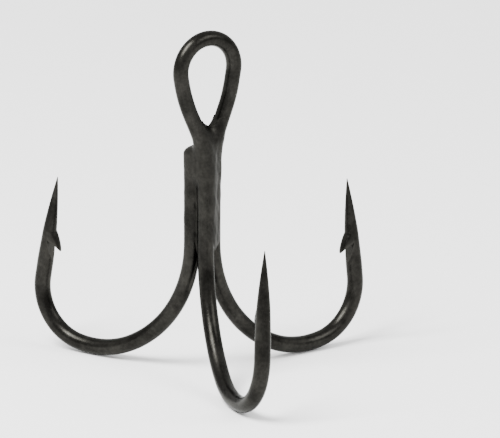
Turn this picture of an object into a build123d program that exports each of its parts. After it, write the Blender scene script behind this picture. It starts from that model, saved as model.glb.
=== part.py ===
from build123d import *

import os
from math import cos, radians, sin

# Treble hook: a double hook, which is one wire folded at its middle into the eye, and a single
# hook laid along its shank and brazed to it. Millimetres and degrees. +Z runs up the shank to
# the eye, the eye's plane is parallel to XZ, and the lowest bend touches Z = 0. The origin is
# under the middle of the whole hook, so the shank stands a little off it.

# Wire, and where the three wires stand in the shank
wire_r = 1.0
shank_axis = Vector(-6.75, 0.7)
front_wire = shank_axis + Vector(-0.3, -1.18)
left_wire = shank_axis + Vector(-0.93, 0.86)
right_wire = shank_axis + Vector(1.44, 0)
shank_bottom = 16.34  # where the bends leave the shank
shank_join = 24.0  # straight up to here at least, then the eye's legs begin to open

# The bend: three tangent arcs, the last as long as each point's lean asks for
arc_radii = (15.6, 12.1, 6.4)
arc_turns = (66.0, 35.0)

# Each hook's direction about the shank, its point's lean towards the shank, the straight length
# from its bend to its tip, and the roll of its wire before the second and the third arc
front_bend = (-110.0, 7.5, 13.05, (-16.0, 11.0))
left_bend = (113.5, 9.4, 13.05, (0, 0))
right_bend = (3.5, 5.8, 12.6, (0, 0))

# The ground point and its barb, measured back from the tip
grind_length = 10.9
cone_length = 6.8
cone_r = 0.85
tip_r = 0.04
barb_start = 6.85
barb_notch = 8.65
barb_tip = 9.1
barb_reach = 1.8  # from the point's axis
barb_width = 1.0

# The eye: a round top over two legs, each with a gentle upper corner and one at its shank
eye_r = 3.8
eye_centre = (front_wire + right_wire) * 0.5 + Vector(-0.3, 0, 38.09)
eye_turn = radians(10)  # how far past the half circle each side of the round top runs
leg_run = 2.9  # from the round top to the leg's upper corner
leg_corner_z = 28.24
leg_radii = (20.0, 14.0)

# The single hook's blunt end, and the braze between the wires and in the fork of the eye
single_top = 28.2
single_edge = 0.8
braze_bottom = 15.8
braze_top = 27.6
braze_r = 0.6  # half thickness of the filler that joins all three wires
flush_r = 0.9  # the same between the double hook's two wires, which is filled almost flush
fork_top = 32.2
fork_r = 0.5
fork_floor = 31.0  # lowest point of the saddle that closes the eye's opening
saddle_r = 1.4


def leg_corner(sign):
    """Upper corner of one leg of the eye, where it turns out of the eye's plane to its wire."""
    shoulder = Vector(sign * cos(eye_turn), 0, -sin(eye_turn)) * eye_r
    return eye_centre + shoulder + Vector(-sign * sin(eye_turn), 0, -cos(eye_turn)) * leg_run


def leg_at(sign, wire, z):
    """Point on a leg of the eye, on its straight run between the two corners."""
    lower = wire + Vector(0, 0, leg_corner_z)
    upper = leg_corner(sign)
    return lower + (upper - lower) * ((z - lower.Z) / (upper.Z - lower.Z))


def draw_arc(at, heading, side, radius, turn):
    """Draw an arc that bends towards a side. Gives its end, and the heading and side there."""
    angle = radians(turn)
    end = at + side * (radius * (1 - cos(angle))) + heading * (radius * sin(angle))
    TangentArc(at, end, tangent=heading)
    return end, heading * cos(angle) + side * sin(angle), side * cos(angle) - heading * sin(angle)


def draw_hook(wire, top, bend):
    """Draw a hook's wire from the top of its shank to where its point starts. Gives that place."""
    azimuth, lean, rise, rolls = bend
    at = wire + Vector(0, 0, shank_bottom)
    Line(wire + Vector(0, 0, top), at)
    heading = Vector(0, 0, -1)
    side = Vector(1, 0, 0).rotate(Axis.Z, azimuth)
    turns = (*arc_turns, 180 + lean - sum(arc_turns))
    for radius, turn, roll in zip(arc_radii, turns, (0, *rolls)):
        side = side.rotate(Axis((0, 0, 0), heading), roll)
        at, heading, side = draw_arc(at, heading, side, radius, turn)
    root = at + heading * (rise - grind_length)
    Line(at, root)
    return root, heading, side


def add_point(root, heading, side):
    """Add the ground point, turned about the wire's axis, and the barb lifted from its inside."""
    plane = Plane(origin=root, x_dir=side, z_dir=side.cross(heading))
    with BuildSketch(plane) as needle:
        with BuildLine():
            Polyline(
                (0, 0),
                (wire_r, 0),
                (cone_r, grind_length - cone_length),
                (tip_r, grind_length),
                (0, grind_length),
                close=True,
            )
        make_face()
    revolve(needle.sketch, axis=Axis(root, heading))
    with BuildSketch(plane) as barb:
        with BuildLine():
            Polyline(
                (0, grind_length - barb_start),
                (cone_r * 0.85, grind_length - barb_start),
                (barb_reach, grind_length - barb_tip),
                (cone_r * 0.9, grind_length - barb_notch),
                (0, grind_length - barb_notch),
                close=True,
            )
        make_face()
    extrude(barb.sketch, amount=barb_width / 2, both=True)


def filler_section(z, centres, radius):
    """Level section of filler round a group of wires, wrapped tight from one to the next."""
    with BuildSketch(Plane.XY.offset(z)) as section:
        for centre in centres:
            with Locations((centre.X, centre.Y)):
                Circle(radius)
        make_hull()
    return section.sketch


# Double hook: both shanks, their bends and the eye are one length of wire.
with BuildPart() as double_hook:
    with BuildLine() as double_line:
        front_point = draw_hook(front_wire, shank_join, front_bend)
        right_point = draw_hook(right_wire, shank_join, right_bend)
        for sign, wire in ((-1, front_wire), (1, right_wire)):
            shoulder = eye_centre + Vector(sign * cos(eye_turn), 0, -sin(eye_turn)) * eye_r
            TangentArc(eye_centre + Vector(0, 0, eye_r), shoulder, tangent=(sign, 0, 0))
            FilletPolyline(
                shoulder,
                leg_corner(sign),
                wire + Vector(0, 0, leg_corner_z),
                wire + Vector(0, 0, shank_join),
                radius=leg_radii,
            )
    double_wire = Wire(double_line.edges())
    with BuildSketch(Plane(origin=double_wire @ 0, z_dir=double_wire % 0)) as double_section:
        Circle(wire_r)
    sweep(double_section.sketch, path=double_wire)
    add_point(*front_point)
    add_point(*right_point)
double_hook.part.label = "double_hook"

# Single hook: the same bend on a shank that ends blunt below the eye.
with BuildPart() as single_hook:
    with BuildLine() as single_line:
        left_point = draw_hook(left_wire, single_top, left_bend)
    single_wire = Wire(single_line.edges())
    with BuildSketch(Plane(origin=single_wire @ 0, z_dir=single_wire % 0)) as single_section:
        Circle(wire_r)
    sweep(single_section.sketch, path=single_wire)
    fillet(single_hook.edges().sort_by(Axis.Z)[-1], single_edge)
    add_point(*left_point)
single_hook.part.label = "single_hook"

# Braze: drawn between all three wires up to the single hook's end, and between the double hook's
# own wires up into the fork of the eye.
with BuildPart() as braze_joint:
    pair = (front_wire, right_wire)
    all_wires = (front_wire, right_wire, left_wire)
    extrude(filler_section(braze_bottom, all_wires, braze_r), amount=braze_top - braze_bottom)
    extrude(filler_section(braze_bottom, pair, flush_r), amount=braze_top - braze_bottom)
    fork = (leg_at(-1, front_wire, fork_top), leg_at(1, right_wire, fork_top))
    loft([filler_section(braze_top, pair, flush_r), filler_section(fork_top, fork, fork_r)])
    with BuildSketch(Plane.XZ.offset(-eye_centre.Y)) as saddle:
        with Locations((eye_centre.X, fork_floor + saddle_r)):
            Circle(saddle_r)
    extrude(saddle.sketch, amount=2 * wire_r, both=True, mode=Mode.SUBTRACT)
    add(double_hook.part, mode=Mode.SUBTRACT)
    add(single_hook.part, mode=Mode.SUBTRACT)
braze_joint.part.label = "braze_joint"

os.makedirs("parts", exist_ok=True)
export_step(double_hook.part, "parts/double_hook.step")
export_step(single_hook.part, "parts/single_hook.step")
export_step(braze_joint.part, "parts/braze_joint.step")
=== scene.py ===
from math import cos, pi, radians, sin, tan

import bmesh
import bpy
import numpy as np
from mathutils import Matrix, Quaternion, Vector


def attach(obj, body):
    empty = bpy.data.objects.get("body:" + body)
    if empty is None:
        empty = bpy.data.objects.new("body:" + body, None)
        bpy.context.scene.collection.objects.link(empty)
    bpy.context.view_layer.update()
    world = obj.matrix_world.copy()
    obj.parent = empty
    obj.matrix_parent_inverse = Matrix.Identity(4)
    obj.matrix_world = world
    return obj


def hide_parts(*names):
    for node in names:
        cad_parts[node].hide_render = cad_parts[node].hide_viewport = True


# A treble hook in black nickel. Lengths are in millimetres, and MM turns them to metres where a
# mesh or the camera is made. Only the floor, the lights and the plate's relief are given in
# metres. The frame's axes are kept: +Z runs up the shank to the eye.
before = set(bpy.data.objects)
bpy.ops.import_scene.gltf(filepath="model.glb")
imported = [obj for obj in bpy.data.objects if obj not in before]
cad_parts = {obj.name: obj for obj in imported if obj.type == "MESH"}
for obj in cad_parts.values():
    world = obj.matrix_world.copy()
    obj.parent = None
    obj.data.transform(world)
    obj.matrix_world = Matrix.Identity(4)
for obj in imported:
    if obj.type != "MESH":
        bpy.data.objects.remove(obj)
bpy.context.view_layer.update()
MM = 0.001
UP = np.array((0.0, 0.0, 1.0))

# Wire, and where the three wires stand in the shank
wire_r = 1.0
shank_axis = np.array((-6.75, 0.7, 0.0))
front_wire = shank_axis + (-0.3, -1.18, 0)
left_wire = shank_axis + (-0.93, 0.86, 0)
right_wire = shank_axis + (1.44, 0, 0)
shank_bottom = 16.34  # where the bends leave the shank
shank_join = 24.0  # straight up to here at least, then the eye's legs begin to open

# The bend: three tangent arcs, and each hook's direction about the shank, its point's lean, the
# straight length from its bend to its tip, and the roll before the second and the third arc
arc_radii = (15.6, 12.1, 6.4)
arc_turns = (66.0, 35.0)
front_bend = (-110.0, 7.5, 13.05, (-16.0, 11.0))
left_bend = (113.5, 9.4, 13.05, (0, 0))
right_bend = (3.5, 5.8, 12.6, (0, 0))

# The ground point, measured back from the tip
grind_length = 10.9
cone_length = 6.8
cone_r = 0.85  # where the long cone meets the short taper from the wire
tip_r = 0.045
needle_swell = 0.06  # how far the ground cone bows out halfway
grind_blend = 0.5  # each way, where one taper runs into the next

# The barb: a tongue cut from the inside of the point and lifted, over the flat the cut leaves
barb_start = 6.85  # where the tongue begins to rise
barb_slit = 7.95  # bottom of the cut
barb_tip = 9.1
barb_flat_end = 10.5
barb_reach = 1.95  # from the point's axis
slit_height = 0.3  # of the cut's bottom, from the point's axis
tongue_curl = 1.4  # 1 would be a straight rise, and more lifts the tongue sooner
tongue_taper = 0.3  # share of its width that the tongue loses towards its tip, at most
tongue_fade = 0.4  # share of the cut's half width over which the tongue's sides come down
tongue_bow = 0.2  # how far the tongue's underside bows from straight
tip_dome = 0.02  # how far the tip's last vertex stands out

# Wear, from 0 to 1, where the plate is rubbed bright
edge_wear = 0.8  # on the back of the tongue, at its edge
flat_edge_wear = 0.5  # where the flat comes out
flat_wear = 0.3
tongue_wear = 0.25  # under the tongue
tip_wear = 0.3
tip_wear_run = 1.6  # from the tip to where that wear ends
blunt_wear = 0.35  # on the single hook's blunt end

# The eye: a round top over two legs, drawn a little thinner than the shank
eye_r = 3.8
eye_wire_r = 0.95
eye_thinning = 4.0  # height above the leg's lower corner over which the wire thins
eye_centre = (front_wire + right_wire) * 0.5 + (-0.3, 0, 38.09)
eye_turn = radians(10)  # how far past the half circle each side of the round top runs
leg_run = 2.9  # from the round top to the leg's upper corner
leg_corner_z = 28.24
leg_radii = (20.0, 14.0)  # at the upper corner and at the lower one

# The single hook's blunt end, and the braze
single_top = 28.2
single_edge = 0.8
braze_bottom = 14.6
saddle_z = 31.05  # lowest point of the saddle in the fork of the eye
saddle_gap = 0.002  # from the highest row's middle up to that point
saddle_depth = 2.1  # over which the braze draws in to that saddle
saddle_r = 1.45  # of the round bottom that it gives the fork
saddle_climb = 0.94  # share of that radius, off the middle, up to which a row climbs
braze_end = 2.2  # length of the rounded lower end
braze_end_least = 0.003  # square of the lowest row's share of its full width
braze_core = 0.5  # radius of the filler in the middle of the three wires
pair_z = 26.5  # above this the braze's middle moves to that of the front and right wires
pair_run = 1.7
half_gap_most = 1.35  # half of the most that counts as the left wire's distance from a leg
least = 0.01  # for a blend or a reach that would otherwise be nothing
collar_z = (22.4, 25.6)  # between these the braze grows from fillets to a collar over the wires
braze_sink = 0.02  # how far the braze's skin lies under a wire's below the collar
collar_skin = 0.05  # and how far it stands over them in the collar
flush_waist = 1.06  # half thickness of the braze between the front and right wires
recessed_waist = 0.42  # the same between the left and front wires, below the collar
back_waist = 0.5  # and between the left and right wires
lump_height = 0.04
lump_waves = ((3.2, 1.0), (1.7, 0.6), (0.9, 0.35))  # wave lengths, and shares of that height
waves_each = 3
fork_z = 28.9  # above this the collar's skin and most of the lumps fade out
fork_run = 1.4
fork_calm = 0.85  # share of the lumps' height that fades

# The wire's radius, uneven by a few microns as drawn
draw_waves = (17.0, 7.3, 3.1)
draw_depth = 0.0022

# Mesh: steps along a wire, columns round it, and the numbers of rows
step = 0.22
columns = 72
angles = np.linspace(0, 2 * pi, columns, endpoint=False)
off_side = np.abs((angles + pi) % (2 * pi) - pi)  # each column's angle from the barb's side
barb_margin = 0.15  # from the barb to the evenly spaced rows beyond it
lead_rows = 9  # of the wire up to the flat
flat_rows = 9
under_rows = 8  # under the tongue
back_rows = 14  # along the tongue's back
tip_rows = 40
blunt_rows = 12  # of the single hook's blunt end
cut_rounds = 30  # of putting an answer back in, to find where a cut's flat comes out
twist_start = 0.3  # share of a path where its normals begin to turn to the last one's side
twist_run = 0.4
braze_columns = 160
braze_rows = 190
closing_rows = 14  # over the saddle, from the highest row in to its middle
closing_end = 0.02  # share of its width that the last of them has
row_crowding = 1.6  # above 1, rows lie closer towards the fork
braze_probe = 3.6  # how far out from its middle the braze's skin is looked for
braze_probes = 300
sharp_edge = 32  # degrees
sharp_braze_edge = 80
weld = 2e-4  # vertices closer than this become one
rng = np.random.default_rng(7)


def unit(v):
    return v / np.linalg.norm(v, axis=-1, keepdims=True)


def rolled(v, axis, angle):
    """v, at a right angle to the axis, turned about it."""
    return v * cos(angle) + np.cross(axis, v) * sin(angle)


def smooth(x):
    """Eases from 0 at 0 to 1 at 1."""
    x = np.clip(x, 0, 1)
    return x * x * (3 - 2 * x)


def line_points(at, end):
    """Evenly spaced points from one place to another, without the first."""
    count = max(2, int(np.linalg.norm(end - at) / step))
    return at + (end - at) * np.linspace(0, 1, count + 1)[1:, None]


def arc_points(at, heading, side, radius, angle):
    """Points of an arc that bends towards a side, and the heading and side at its end."""
    count = max(3, int(radius * angle / step))
    turned = np.linspace(0, angle, count + 1)[1:, None]
    points = at + side * radius * (1 - np.cos(turned)) + heading * radius * np.sin(turned)
    return points, heading * cos(angle) + side * sin(angle), side * cos(angle) - heading * sin(angle)


def hook_path(wire, top, bend):
    """Centre line from the top of a hook's straight shank to the start of its point."""
    azimuth, lean, rise, rolls = bend
    start = wire + UP * top
    at = wire + UP * shank_bottom
    heading = -UP
    side = np.array((cos(radians(azimuth)), sin(radians(azimuth)), 0.0))
    parts = [start[None], line_points(start, at)]
    turns = (*arc_turns, 180 + lean - sum(arc_turns))
    for radius, turn, roll in zip(arc_radii, turns, (0, *rolls)):
        side = rolled(side, heading, radians(roll))
        points, heading, side = arc_points(at, heading, side, radius, radians(turn))
        parts.append(points)
        at = points[-1]
    root = at + heading * (rise - grind_length)
    parts.append(line_points(at, root))
    return np.concatenate(parts), heading, side


def leg_path(sign, wire):
    """Centre line of one side of the eye, from the top of the straight shank to the crown."""
    shoulder = eye_centre + np.array((sign * cos(eye_turn), 0, -sin(eye_turn))) * eye_r
    rising = np.array((sign * sin(eye_turn), 0, cos(eye_turn)))
    corners = (wire + UP * leg_corner_z, shoulder - rising * leg_run)
    headings = (UP, unit(corners[1] - corners[0]), rising)
    at = wire + UP * shank_join
    parts = [at[None]]
    for corner, heading, onward, radius in zip(corners, headings, headings[1:], reversed(leg_radii)):
        angle = np.arccos(np.dot(heading, onward))
        bend_start = corner - heading * radius * tan(angle / 2)
        side = unit(onward - heading * np.dot(heading, onward))
        points, _, _ = arc_points(bend_start, heading, side, radius, angle)
        parts += [line_points(at, bend_start), points]
        at = points[-1]
    parts.append(line_points(at, shoulder))
    inward = np.array((-sign * cos(eye_turn), 0, sin(eye_turn)))
    points, _, _ = arc_points(shoulder, rising, inward, eye_r, pi / 2 + eye_turn)
    return np.concatenate([*parts, points])


def path_frames(points, first_normal, last_normal):
    """A normal and binormal at each point. The normal is carried along without turning, and
    what it lacks of the last normal is made up over the middle of the path."""
    tangents = unit(np.gradient(points, axis=0))
    normals = [unit(first_normal - tangents[0] * np.dot(first_normal, tangents[0]))]
    for tangent in tangents[1:]:
        normals.append(unit(normals[-1] - tangent * np.dot(normals[-1], tangent)))
    normals = np.array(normals)
    binormals = np.cross(tangents, normals)
    missing = np.arctan2(np.dot(last_normal, binormals[-1]), np.dot(last_normal, normals[-1]))
    along = np.linspace(0, 1, len(points))
    twist = (missing * smooth((along - twist_start) / twist_run))[:, None]
    normals = normals * np.cos(twist) + binormals * np.sin(twist)
    return normals, np.cross(tangents, normals)


def needle_r(d):
    """Radius of the point at a distance from its tip: two tapers, with the corners smoothed."""
    def straight(x):
        return np.interp(x, (0, cone_length, grind_length), (tip_r, cone_r, wire_r))
    reach = np.minimum(grind_blend, d)
    swell = needle_swell * np.sin(pi * np.clip(d / cone_length, 0, 1))
    return (straight(d - reach) + 2 * straight(d) + straight(d + reach)) / 4 + swell


def cut_edge(end):
    """Where a flat that leaves the slit's bottom, and comes out at a distance from the tip,
    meets each column of the round point. Columns outside the cut meet it at the slit."""
    slope = (needle_r(end) - slit_height) / (end - barb_slit)
    edge = np.full(columns, float(end))
    for _ in range(cut_rounds):
        edge = barb_slit + (needle_r(edge) * np.cos(off_side) - slit_height) / slope
        edge = np.clip(edge, barb_slit, end)
    return edge


def tongue_share():
    """1 along the middle of the tongue, easing to 0 at the columns where the cut ends."""
    cut_half = np.arccos(slit_height / needle_r(barb_slit))
    return smooth((cut_half - off_side) / (tongue_fade * cut_half))


def tongue_lift(d):
    """How far the tongue stands up from the round point, column by column."""
    part = np.clip((d - barb_start) / (barb_tip - barb_start), 0, 1)
    height = (barb_reach - needle_r(barb_tip)) * (1 - (1 - part) ** tongue_curl)
    return height * tongue_share()


def point_rows():
    """Rows of the point from its start to its tip. Each row gives, for every column, the
    distance from the tip, the height towards the barb's side, the offset across, and the wear."""
    rows = []

    def add(d, h=None, across=None, wear=0.0):
        d = np.broadcast_to(d, (columns,)).astype(float)
        h = needle_r(d) * np.cos(angles) if h is None else h
        across = needle_r(d) * np.sin(angles) if across is None else across
        rows.append((d, h, across, np.broadcast_to(wear, (columns,)).astype(float)))

    flat_edge = cut_edge(barb_flat_end)
    tongue_edge = cut_edge(barb_tip)
    in_cut = flat_edge > barb_slit
    before = barb_flat_end + barb_margin
    after = barb_start - barb_margin
    for d in np.arange(grind_length - step, before, -step):
        add(d)
    for t in np.linspace(0, 1, lead_rows):
        add(before + (flat_edge - before) * t, wear=flat_edge_wear * t**6 * in_cut)

    # Down the flat to the bottom of the cut
    slope = (needle_r(barb_flat_end) - slit_height) / (barb_flat_end - barb_slit)
    flat_across = needle_r(flat_edge) * np.sin(angles)
    for t in np.linspace(0, 1, flat_rows)[1:]:
        d = flat_edge + (barb_slit - flat_edge) * t
        h = np.where(in_cut, slit_height + slope * (d - barb_slit), needle_r(d) * np.cos(angles))
        add(d, h, flat_across, wear=np.where(in_cut, flat_wear, 0.0))

    # Back up the underside of the tongue to its edge
    part = (tongue_edge - barb_start) / (barb_tip - barb_start)
    edge_h = needle_r(tongue_edge) * np.cos(angles) + tongue_lift(tongue_edge)
    taper = tongue_taper * tongue_share()
    edge_across = needle_r(tongue_edge) * np.sin(angles) * (1 - taper * part**2)
    root_h = np.where(in_cut, slit_height, edge_h)
    for t in np.linspace(0, 1, under_rows)[1:]:
        bowed = (1 - tongue_bow) * t + tongue_bow * t**2
        add(
            barb_slit + (tongue_edge - barb_slit) * t,
            root_h + (edge_h - root_h) * bowed,
            flat_across + (edge_across - flat_across) * t,
            wear=np.where(in_cut, tongue_wear, 0.0),
        )

    # Down its back, and on to the tip
    for t in np.linspace(0, 1, back_rows)[1:]:
        d = tongue_edge + (after - tongue_edge) * t
        part = np.clip((d - barb_start) / (barb_tip - barb_start), 0, 1)
        h = needle_r(d) * np.cos(angles) + tongue_lift(d)
        across = needle_r(d) * np.sin(angles) * (1 - taper * part**2)
        add(d, h, across, wear=edge_wear * (1 - t) ** 5 * in_cut)
    for d in np.linspace(after, 0, tip_rows)[1:]:
        add(d, wear=tip_wear * (1 - smooth(d / tip_wear_run)))
    return rows


def placed_point(tip, heading, side, across):
    """The point's rows in space."""
    rows = []
    for d, h, offset, wear in point_rows():
        rows.append((tip - heading * d[:, None] + side * h[:, None] + across * offset[:, None], wear))
    return rows


def radius_at(z):
    """Radius of a wire at a height: it is thinner round the eye."""
    return wire_r - (wire_r - eye_wire_r) * smooth((z - leg_corner_z) / eye_thinning)


def drawn_radius(points):
    """Radius along a wire, with its unevenness."""
    radius = radius_at(points[:, 2])
    along = np.cumsum(np.linalg.norm(np.diff(points, axis=0, prepend=points[:1]), axis=1))
    for length in draw_waves:
        radius = radius - draw_depth * (1 + np.sin(2 * pi * (along / length + rng.random())))
    return radius


def wire_rows(points, first_normal, last_normal):
    """Round rows along a centre line."""
    normals, binormals = path_frames(points, first_normal, last_normal)
    radius = drawn_radius(points)
    rows = []
    for centre, normal, binormal, r in zip(points, normals, binormals, radius):
        ring = centre + normal * (r * np.cos(angles))[:, None] + binormal * (r * np.sin(angles))[:, None]
        rows.append((ring, np.zeros(columns)))
    return rows, normals, binormals


def make_mesh(name, rows, ends, sharp=sharp_edge):
    """A closed mesh from rows of vertices and one vertex beyond each end. UV is round the wire
    and along it, in millimetres, and the attribute wear goes from 0 to 1."""
    mesh = bpy.data.meshes.new(name)
    bm = bmesh.new()
    wear_layer = bm.verts.layers.float.new("wear")
    uv_layer = bm.loops.layers.uv.new("wire")
    count = len(rows[0][0])
    grid = []
    for ring, wear in rows:
        line = []
        for place, worn in zip(ring, wear):
            vert = bm.verts.new(place * MM)
            vert[wear_layer] = worn
            line.append(vert)
        grid.append(line)
    girth = 2 * pi * wire_r
    along = 0.0
    for i in range(len(grid) - 1):
        gap = float(np.linalg.norm(rows[i + 1][0].mean(axis=0) - rows[i][0].mean(axis=0)))
        for k in range(count):
            n = (k + 1) % count
            face = bm.faces.new((grid[i][k], grid[i][n], grid[i + 1][n], grid[i + 1][k]))
            face.smooth = True
            u0, u1 = girth * k / count, girth * (k + 1) / count
            corners = ((u0, along), (u1, along), (u1, along + gap), (u0, along + gap))
            for loop, corner in zip(face.loops, corners):
                loop[uv_layer].uv = corner
        along += gap
    for line, end, flip in ((grid[0], ends[0], True), (grid[-1], ends[1], False)):
        middle = bm.verts.new(end * MM)
        for k in range(count):
            pair = (line[k], line[(k + 1) % count])
            face = bm.faces.new((middle, *reversed(pair)) if flip else (middle, *pair))
            face.smooth = True
    bmesh.ops.remove_doubles(bm, verts=bm.verts, dist=weld * MM)
    bmesh.ops.dissolve_degenerate(bm, edges=bm.edges, dist=weld * MM)
    bmesh.ops.recalc_face_normals(bm, faces=bm.faces)
    for edge in bm.edges:
        edge.smooth = len(edge.link_faces) == 2 and edge.calc_face_angle(0) < radians(sharp)
    bm.to_mesh(mesh)
    bm.free()
    piece = bpy.data.objects.new(name, mesh)
    bpy.context.scene.collection.objects.link(piece)
    return piece


def point_end(path, heading, side, binormals, which):
    """The rows of the point that follows the path's last row, or its first, and the tip."""
    root = path[which]
    tip = root + heading * grind_length
    return placed_point(tip, heading, side, binormals[which]), tip + heading * tip_dome


def make_double_hook():
    """Both front and right hooks and the eye, from one tip to the other."""
    front, front_heading, front_side = hook_path(front_wire, shank_join, front_bend)
    right, right_heading, right_side = hook_path(right_wire, shank_join, right_bend)
    up = leg_path(-1, front_wire)
    down = leg_path(1, right_wire)[::-1]
    path = np.concatenate([front[::-1], up[1:], down[1:], right[1:]])
    rows, normals, binormals = wire_rows(path, front_side, right_side)
    first, first_tip = point_end(path, front_heading, front_side, binormals, 0)
    last, last_tip = point_end(path, right_heading, right_side, binormals, -1)
    return make_mesh("double_hook_wire", [*first[::-1], *rows, *last], (first_tip, last_tip))


def make_single_hook():
    """The left hook, from the blunt top of its shank to its tip."""
    path, heading, side = hook_path(left_wire, single_top - single_edge, left_bend)
    first_side = np.array((cos(radians(left_bend[0])), sin(radians(left_bend[0])), 0.0))
    rows, normals, binormals = wire_rows(path, first_side, side)
    last, tip = point_end(path, heading, side, binormals, -1)
    end = []
    for turned in np.linspace(pi / 2, 0, blunt_rows)[:-1]:
        r = wire_r - single_edge + single_edge * np.cos(turned)
        lift = UP * (single_edge * np.sin(turned))
        ring = path[0] + lift + normals[0] * (r * np.cos(angles))[:, None]
        ring = ring + binormals[0] * (r * np.sin(angles))[:, None]
        end.append((ring, np.full(columns, blunt_wear * np.sin(turned))))
    top = path[0] + UP * single_edge
    return make_mesh("single_hook_wire", [*end, *rows, *last], (top, tip))


def leg_centre(points, z):
    """Centre of a wire at each height."""
    order = np.argsort(points[:, 2])
    return np.stack([np.interp(z, points[order, 2], points[order, i]) for i in (0, 1)], axis=-1)


def lumps(x, y, z):
    """Uneven height of poured and plated braze, from a seeded sum of waves."""
    total = np.zeros_like(x)
    for length, height in lump_waves:
        for _ in range(waves_each):
            wave = unit(rng.normal(size=3)) * 2 * pi / length
            total += height * np.sin(x * wave[0] + y * wave[1] + z * wave[2] + rng.random() * 2 * pi)
    return total / waves_each


def blended(a, b, waist, half_gap, radius):
    """Smooth union of two wires' distances. Its waist between them has a given half thickness.
    Where the two are equal the union is lower by a quarter of the blend, hence the 4."""
    blend = 4 * np.maximum(np.hypot(waist, half_gap) - radius, least)
    share = np.maximum(blend - np.abs(a - b), 0) / blend
    return np.minimum(a, b) - share**2 * blend / 4


def make_braze():
    """The braze: a smooth skin round the three wires. Each column goes straight out from the
    middle of the wires. Rows are level, but towards the fork they lie closer and their sides
    climb, to give the fork a round bottom."""
    part = np.linspace(0, 1, braze_rows)
    z = braze_bottom + (saddle_z - saddle_gap - braze_bottom) * (1 - (1 - part) ** row_crowding)
    up_front, up_right = leg_path(-1, front_wire), leg_path(1, right_wire)
    in_shank = (z < shank_join)[:, None]
    front_c = np.where(in_shank, front_wire[:2], leg_centre(up_front[: len(up_front) // 2], z))
    right_c = np.where(in_shank, right_wire[:2], leg_centre(up_right[: len(up_right) // 2], z))
    left_c = np.broadcast_to(left_wire[:2], front_c.shape)
    share = smooth((z - pair_z) / pair_run)[:, None]
    middle = (front_c + right_c + left_c) / 3 * (1 - share) + (front_c + right_c) / 2 * share
    theta = np.linspace(0, 2 * pi, braze_columns, endpoint=False)
    rays = np.stack([np.cos(theta), np.sin(theta)], axis=-1)
    depth = np.linspace(0, braze_probe, braze_probes)
    spots = middle[:, None, None] + rays[None, :, None] * depth[None, None, :, None]
    across = unit(right_c - front_c)
    drawn_in = np.clip((z - saddle_z + saddle_depth) / saddle_depth, 0, 1)

    def climb(offset):
        """How far a place off the middle of the fork stands above the middle of its row."""
        offset = np.minimum(np.abs(offset), saddle_climb * saddle_r)
        return saddle_r - np.sqrt(saddle_r**2 - offset**2)

    def by_row(values):
        return values[:, None, None]

    raised = by_row(smooth(drawn_in)) * climb(np.einsum("rtdi,ri->rtd", spots - by_row(middle), across))
    level = by_row(z) + raised
    radius = by_row(radius_at(z))
    front_drift = by_row(np.gradient(front_c, z, axis=0)) * raised[..., None]
    right_drift = by_row(np.gradient(right_c, z, axis=0)) * raised[..., None]
    to_front = np.linalg.norm(spots - by_row(front_c) - front_drift, axis=-1) - radius
    to_right = np.linalg.norm(spots - by_row(right_c) - right_drift, axis=-1) - radius
    beside = np.maximum(np.linalg.norm(spots - left_wire[:2], axis=-1) - (wire_r - single_edge), 0)
    above = np.maximum(level - (single_top - single_edge), 0)
    to_left = np.hypot(beside, above) - single_edge
    core = np.linalg.norm(spots - by_row(middle), axis=-1) - braze_core * by_row(1 - share[:, 0])

    collar = by_row(smooth((z - collar_z[0]) / (collar_z[1] - collar_z[0])))
    saddle = by_row(np.sqrt(1 - drawn_in**2))
    field = core
    for a, b, a_c, b_c, waist in (
        (to_front, to_right, front_c, right_c, flush_waist * saddle),
        (to_left, to_front, left_c, front_c, recessed_waist + (flush_waist - recessed_waist) * collar),
        (to_left, to_right, left_c, right_c, back_waist + (flush_waist - back_waist) * collar),
    ):
        half_gap = by_row(np.linalg.norm(a_c - b_c, axis=-1) / 2)
        if a is to_left:
            half_gap = np.minimum(half_gap, half_gap_most)
        field = np.minimum(field, blended(a, b, waist, half_gap, radius))
    fork_fade = by_row(smooth((z - fork_z) / fork_run))
    skin = braze_sink - (braze_sink + collar_skin) * collar * (1 - fork_fade)
    calm = 1 - fork_calm * fork_fade
    field = field + skin + lump_height * calm * lumps(spots[..., 0], spots[..., 1], level)

    # The skin is where the field last changes sign on the way out, found between two probes
    last = field.shape[-1] - 1 - np.argmax(field[..., ::-1] < 0, axis=-1)
    last = np.minimum(last, len(depth) - 2)
    here = np.take_along_axis(field, last[..., None], axis=-1)[..., 0]
    beyond = np.take_along_axis(field, last[..., None] + 1, axis=-1)[..., 0]
    reach = depth[last] + (depth[1] - depth[0]) * np.clip(here / np.minimum(here - beyond, -1e-6), 0, 1)
    reach = np.where((field < 0).any(axis=-1), reach, least)
    rounded = np.clip((z - braze_bottom) / braze_end, 0, 1)
    reach = reach * np.sqrt(np.maximum(1 - (1 - rounded) ** 2, braze_end_least))[:, None]
    rows = []
    shares = np.linspace(1, closing_end, closing_rows)[1:]
    closing = [(braze_rows - 1, share_left) for share_left in shares]
    for i, share_left in [(i, 1.0) for i in range(braze_rows)] + closing:
        outward = rays * (reach[i] * share_left)[:, None]
        ring = np.full((braze_columns, 3), z[i])
        ring[:, :2] = middle[i] + outward
        ring[:, 2] += smooth(drawn_in[i]) * climb(outward @ across[i])
        rows.append((ring, np.zeros(braze_columns)))
    ends = (np.append(middle[0], z[0]), np.append(middle[-1], z[-1]))
    return make_mesh("braze_fill", rows, ends, sharp=sharp_braze_edge)


def node(tree, kind, **inputs):
    """A shader node with some of its inputs set, by name."""
    made = tree.nodes.new(kind)
    for name, value in inputs.items():
        made.inputs[name].default_value = value
    return made


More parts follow.
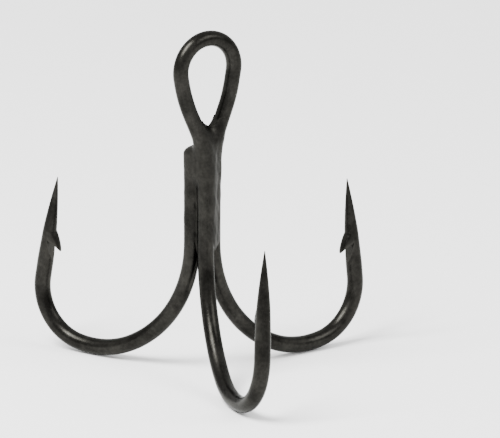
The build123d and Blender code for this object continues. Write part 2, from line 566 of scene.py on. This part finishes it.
def ramp(tree, source, stops):
    """A colour ramp of a value, from stops of a place and a colour."""
    made = tree.nodes.new("ShaderNodeValToRGB")
    elements = made.color_ramp.elements
    while len(elements) < len(stops):
        elements.new(0.5)
    for element, (place, colour) in zip(elements, stops):
        element.position = place
        element.color = (*colour, 1)
    tree.links.new(source, made.inputs["Fac"])
    return made.outputs["Color"]


def mixed(tree, factor, a, b, blend="MIX"):
    """Two colours mixed by a factor. The factor is an output or a number, and a colour is an
    output or three numbers."""
    made = tree.nodes.new("ShaderNodeMix")
    made.data_type = "RGBA"
    made.blend_type = blend
    for socket, value in ((0, factor), (6, a), (7, b)):  # a colour mix's own sockets
        if isinstance(value, bpy.types.NodeSocket):
            tree.links.new(value, made.inputs[socket])
        else:
            made.inputs[socket].default_value = (*value, 1) if socket else value
    return made.outputs[2]


def noise(tree, place, scale, detail, roughness):
    """A noise at a place."""
    made = node(tree, "ShaderNodeTexNoise", Scale=scale, Detail=detail, Roughness=roughness)
    tree.links.new(place, made.inputs["Vector"])
    return made.outputs["Fac"]


def bump(tree, height, strength, distance, below=None):
    """A bump of a height, on top of the bump below it."""
    made = node(tree, "ShaderNodeBump", Strength=strength, Distance=distance)
    tree.links.new(height, made.inputs["Height"])
    if below is not None:
        tree.links.new(below.outputs["Normal"], made.inputs["Normal"])
    return made


def grey(value):
    return (value, value, value)


def times(value, colour):
    return tuple(value * c for c in colour)


# Black nickel plate: its tint at grazing angles, how much darker or lighter than its tone the
# patches, flecks and rubbed places are, and its fine relief, in metres as the shader has it
edge_tint = (0.7, 0.7, 0.69)
dark_patch = 0.62
light_patch = 1.5
dark_fleck = 0.72
light_fleck = 1.18
fleck_strength = 0.8
rubbed = 2.3
scratch_width = 0.012  # from a scratch's middle to its edge, in its texture's own scale
scratch_roughness = 0.12  # added to the most roughness
scratch_strength = 0.12
line_depth = 0.00002
pit_depth = 0.00003


def nickel(name, tone, rough, pitting, lines):
    """Black nickel plate. The tone is the metal's, rough is the least and most roughness,
    and pitting and lines are the strengths of the plate's pits and the wire's drawn lines."""
    material = bpy.data.materials.new(name)
    material.use_nodes = True
    tree = material.node_tree
    shader = tree.nodes["Principled BSDF"]
    shader.inputs["Metallic"].default_value = 1.0
    shader.inputs["Specular Tint"].default_value = (*edge_tint, 1)
    link = tree.links.new
    place = tree.nodes.new("ShaderNodeTexCoord")
    along = tree.nodes.new("ShaderNodeUVMap")
    along.uv_map = "wire"
    stretch = node(tree, "ShaderNodeMapping", Scale=(9.0, 0.35, 1.0))
    link(along.outputs["UV"], stretch.inputs["Vector"])
    drawn = noise(tree, stretch.outputs["Vector"], scale=2.2, detail=5.0, roughness=0.65)
    cloud = noise(tree, place.outputs["Object"], scale=330.0, detail=4.0, roughness=0.6)
    speck = noise(tree, place.outputs["Object"], scale=2600.0, detail=3.0, roughness=0.7)
    scratch_map = node(tree, "ShaderNodeMapping", Scale=(2.4, 0.5, 1.0), Rotation=(0, 0, radians(23)))
    link(along.outputs["UV"], scratch_map.inputs["Vector"])
    scratch = node(tree, "ShaderNodeTexVoronoi", Scale=1.6)
    scratch.feature = "DISTANCE_TO_EDGE"
    link(scratch_map.outputs["Vector"], scratch.inputs["Vector"])
    scratched = ramp(
        tree, scratch.outputs["Distance"], ((0.0, grey(1.0)), (scratch_width, grey(0.0)))
    )
    worn = tree.nodes.new("ShaderNodeAttribute")
    worn.attribute_name = "wear"

    dark = times(dark_patch, tone)
    light = times(light_patch, tone)
    patches = ramp(tree, cloud, ((0.34, dark), (0.5, tone), (0.68, light)))
    flecked = ramp(tree, speck, ((0.35, grey(dark_fleck)), (0.62, grey(light_fleck))))
    speckled = mixed(tree, fleck_strength, patches, flecked, "MULTIPLY")
    colour = mixed(tree, worn.outputs["Fac"], speckled, times(rubbed, tone))
    link(colour, shader.inputs["Base Color"])

    low, high = rough
    streaks = ramp(tree, drawn, ((0.3, grey(low)), (0.7, grey(high))))
    uneven = ramp(tree, cloud, ((0.3, grey(low)), (0.7, grey(high))))
    roughness = mixed(tree, 0.5, streaks, uneven)
    roughness = mixed(tree, scratched, roughness, grey(high + scratch_roughness))
    link(roughness, shader.inputs["Roughness"])

    fine = bump(tree, drawn, lines, line_depth)
    pits = bump(tree, speck, pitting, pit_depth, fine)
    marks = bump(tree, scratched, scratch_strength, line_depth, pits)
    marks.invert = True
    link(marks.outputs["Normal"], shader.inputs["Normal"])
    return material


wire_nickel = nickel(
    "black_nickel_wire", tone=(0.0150, 0.0145, 0.0128), rough=(0.2, 0.36), pitting=0.25, lines=0.3
)
braze_nickel = nickel(
    "black_nickel_braze", tone=(0.0155, 0.015, 0.0133), rough=(0.3, 0.5), pitting=0.6, lines=0.05
)

for piece, body_node, finish, slot in (
    (make_double_hook(), "double_hook", wire_nickel, "plated_wire"),
    (make_single_hook(), "single_hook", wire_nickel, "plated_wire"),
    (make_braze(), "braze_joint", braze_nickel, "plated_braze"),
):
    piece.data.materials.append(finish)
    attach(piece, "root")
    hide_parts(body_node)


def make_floor():
    """A plain pale floor, large enough to fill every view."""
    mesh = bpy.data.meshes.new("floor")
    half = 9.0  # metres
    low = -0.00002  # metres, just under the lowest bend
    corners = [(-half, -half, low), (half, -half, low), (half, half, low), (-half, half, low)]
    mesh.from_pydata(corners, [], [(0, 1, 2, 3)])
    floor = bpy.data.objects.new("floor", mesh)
    bpy.context.scene.collection.objects.link(floor)
    material = bpy.data.materials.new("pale_floor")
    material.use_nodes = True
    shader = material.node_tree.nodes["Principled BSDF"]
    shader.inputs["Base Color"].default_value = (0.93, 0.93, 0.93, 1)
    shader.inputs["Roughness"].default_value = 0.9
    shader.inputs["Specular IOR Level"].default_value = 0.1
    mesh.materials.append(material)


light_target_z = 21.0  # height on the frame's Z axis that the lights face


def make_light(name, azimuth, elevation, distance, size, power):
    """A softbox that faces the hook from an azimuth and elevation. The distance and size are in
    metres and the power is in watts."""
    data = bpy.data.lights.new(name, "AREA")
    data.shape = "RECTANGLE"
    data.size, data.size_y = size
    data.energy = power
    light = bpy.data.objects.new(name, data)
    a, e = radians(azimuth), radians(elevation)
    away = Vector((sin(a) * cos(e), -cos(a) * cos(e), sin(e)))
    target = Vector(UP * light_target_z * MM)
    light.location = target + away * distance
    light.rotation_mode = "QUATERNION"
    light.rotation_quaternion = away.to_track_quat("Z", "Y")
    bpy.context.scene.collection.objects.link(light)


def make_world(strength):
    """An even white surround."""
    world = bpy.data.worlds.new("studio")
    world.use_nodes = True
    background = world.node_tree.nodes["Background"]
    background.inputs["Color"].default_value = (1, 1, 1, 1)
    background.inputs["Strength"].default_value = strength
    bpy.context.scene.world = world


# The camera looks from the front left and a little above, from far off, so that the hook is
# hardly foreshortened.
view_azimuth = -33.5
view_elevation = 16.0
view_roll = 0.175
view_width = 60.0  # of the picture, at the hook
view_distance = 1600.0
aim_z = 29.28  # the place on the shank's axis that the picture's middle is measured from
aim_right = 5.718
aim_down = 9.557
sensor = 36.0


def make_camera():
    """The camera, aimed below and to the right of a place on the shank's axis."""
    a, e = radians(view_azimuth), radians(view_elevation)
    right = np.array((cos(a), sin(a), 0.0))
    back = np.array((sin(a) * cos(e), -cos(a) * cos(e), sin(e)))
    up = np.cross(back, right)
    target = shank_axis + UP * aim_z + right * aim_right - up * aim_down
    data = bpy.data.cameras.new("camera")
    data.sensor_width = sensor
    data.lens = sensor * view_distance / view_width
    camera = bpy.data.objects.new("camera", data)
    camera.rotation_mode = "QUATERNION"
    camera.location = Vector((target + back * view_distance) * MM)
    level = Vector(back).to_track_quat("Z", "Y")
    camera.rotation_quaternion = Quaternion(Vector(back), radians(view_roll)) @ level
    bpy.context.scene.collection.objects.link(camera)
    bpy.context.scene.camera = camera


make_floor()
make_world(strength=1.4)
make_light("key", view_azimuth - 50, elevation=55, distance=0.5, size=(0.25, 0.25), power=7)
make_light("fill", view_azimuth + 65, elevation=40, distance=0.6, size=(0.3, 0.3), power=2.5)
make_camera()
